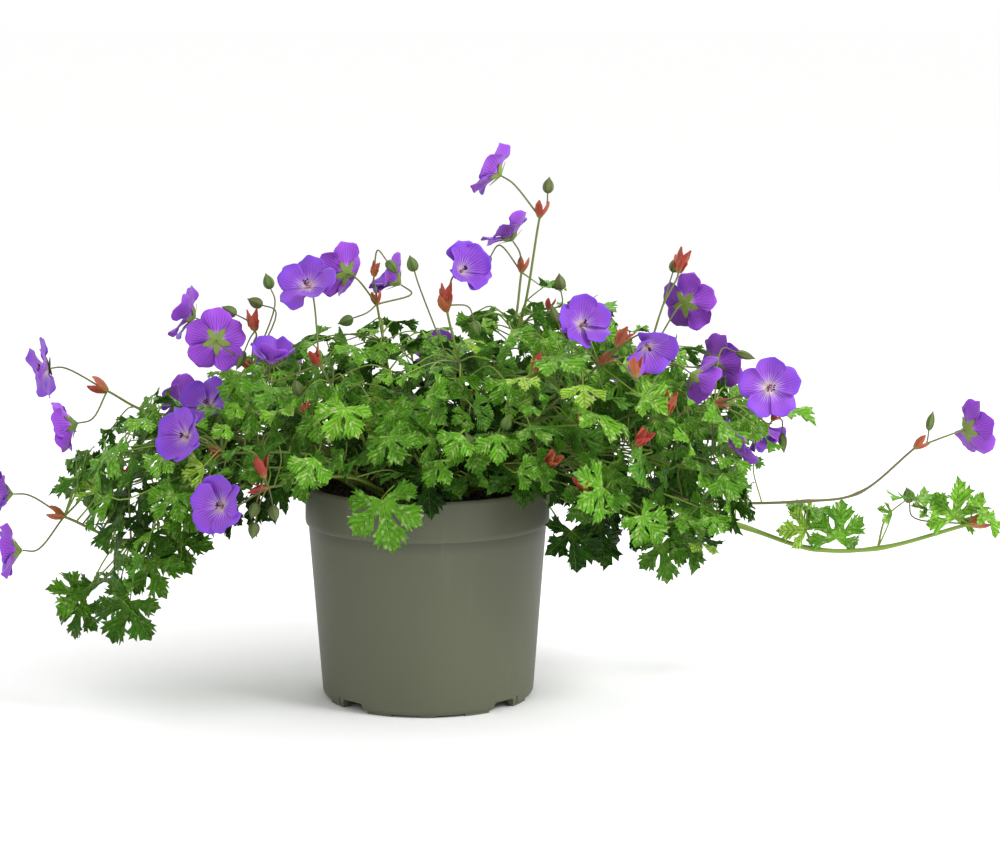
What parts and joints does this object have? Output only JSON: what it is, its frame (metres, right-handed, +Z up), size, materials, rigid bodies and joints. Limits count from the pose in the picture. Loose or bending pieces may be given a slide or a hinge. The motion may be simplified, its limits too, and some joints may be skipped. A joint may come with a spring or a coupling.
{
  "type": "hardy geranium in a nursery pot",
  "caption": "Trailing violet-blue hardy geranium with lobed leaves and open blooms, growing in a round olive-grey plastic nursery pot.",
  "frame": {"origin": "centre of the pot's underside, at the level of its feet", "axes": "+Z up along the pot's axis, +X towards the longest trailing stem, -Y towards the side with most blooms"},
  "size_m": [0.7795, 0.3242, 0.4268],
  "materials": {
    "pot_plastic": "satin moulded, soft sheen",
    "potting_soil": "loose, dark, fibrous",
    "foliage": "satin leaf, paler veins",
    "petals": "matt silky, darker veins, pale throat"
  },
  "bodies": {
    "root": {"pot": "pot_plastic", "soil": "potting_soil", "stem_crest": "foliage", "bloom_crest_1": "petals", "stem_crest_back": "foliage", "bloom_crest_back_1": "petals", "stem_front_high": "foliage", "bloom_front_high_1": "petals", "stem_left_high": "foliage", "bloom_left_high_1": "petals", "bloom_left_high_2": "petals", "stem_left_middle": "foliage", "bloom_left_middle_1": "petals", "bloom_left_middle_2": "petals", "stem_left_outer": "foliage", "bloom_left_outer_1": "petals", "bloom_left_outer_2": "petals", "stem_left_front": "foliage", "bloom_left_front_1": "petals", "bloom_left_front_2": "petals", "stem_left_low": "foliage", "bloom_left_low_1": "petals", "stem_far_left": "foliage", "bloom_far_left_1": "petals", "bloom_far_left_2": "petals", "stem_low_left": "foliage", "bloom_low_left_1": "petals", "bloom_low_left_2": "petals", "stem_right_front": "foliage", "bloom_right_front_1": "petals", "bloom_right_front_2": "petals", "stem_right_back": "foliage", "bloom_right_back_1": "petals", "bloom_right_back_2": "petals", "bloom_right_back_3": "petals", "stem_right_outer": "foliage", "bloom_right_outer_1": "petals", "bloom_right_outer_2": "petals", "bloom_right_outer_3": "petals", "stem_far_right": "foliage", "bloom_far_right_1": "petals", "stem_runner": "foliage", "stem_back_right": "foliage", "bloom_back_right_1": "petals", "bloom_back_right_2": "petals", "stem_back_middle": "foliage", "bloom_back_middle_1": "petals", "stem_back_left": "foliage", "bloom_back_left_1": "petals", "stem_side_left": "foliage", "bloom_side_left_1": "petals", "leaves_front": "foliage", "leaves_front_right": "foliage", "leaves_right": "foliage", "leaves_back_right": "foliage", "leaves_back": "foliage", "leaves_back_left": "foliage", "leaves_left": "foliage", "leaves_front_left": "foliage", "leaves_crown": "foliage"}
  },
  "joints": []
}
